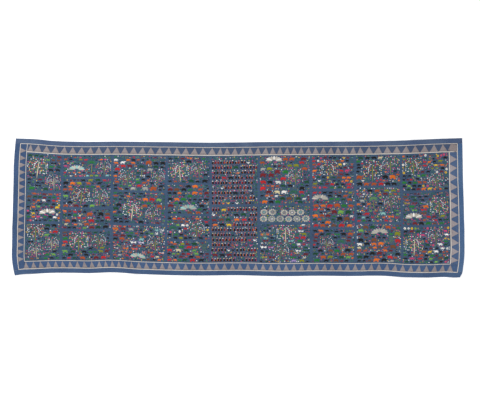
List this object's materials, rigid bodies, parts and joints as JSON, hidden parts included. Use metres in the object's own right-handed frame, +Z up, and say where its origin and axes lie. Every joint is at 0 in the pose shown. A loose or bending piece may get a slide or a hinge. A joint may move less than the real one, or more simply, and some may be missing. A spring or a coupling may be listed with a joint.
{
  "type": "embroidered story cloth",
  "caption": "Long embroidered story cloth laid flat, with a sawtooth applique border between off-white strips and a plain blue outer border.",
  "frame": {"origin": "on the surface under the middle of the box around the cloth", "axes": "+X along the cloth to the right of its picture, +Y towards the picture's top, +Z up out of its face"},
  "size_m": [3.6224, 1.1169, 0.0131],
  "materials": {
    "field_cotton": "matt plain-weave blue cotton under dense hand embroidery",
    "band_cotton": "matt plain-weave blue cotton",
    "border_cotton": "matt plain-weave blue cotton, slightly faded, hem turned under",
    "tooth_cotton": "matt grey-mauve cotton applique with folded edges",
    "strip_cotton": "off-white cotton strip, folded and hand sewn",
    "embroidery_thread": "satin-stitched embroidery thread in many colours"
  },
  "bodies": {
    "root": {"ground_field": "field_cotton", "band_top": "band_cotton", "band_bottom": "band_cotton", "band_left": "band_cotton", "band_right": "band_cotton", "border_top": "border_cotton", "border_bottom": "border_cotton", "border_left": "border_cotton", "border_right": "border_cotton", "sawtooth_top": "tooth_cotton", "sawtooth_bottom": "tooth_cotton", "sawtooth_left": "tooth_cotton", "sawtooth_right": "tooth_cotton", "inner_strip_top": "strip_cotton", "inner_strip_bottom": "strip_cotton", "inner_strip_left": "strip_cotton", "inner_strip_right": "strip_cotton", "outer_strip_top": "strip_cotton", "outer_strip_bottom": "strip_cotton", "outer_strip_left": "strip_cotton", "outer_strip_right": "strip_cotton"}
  },
  "joints": []
}
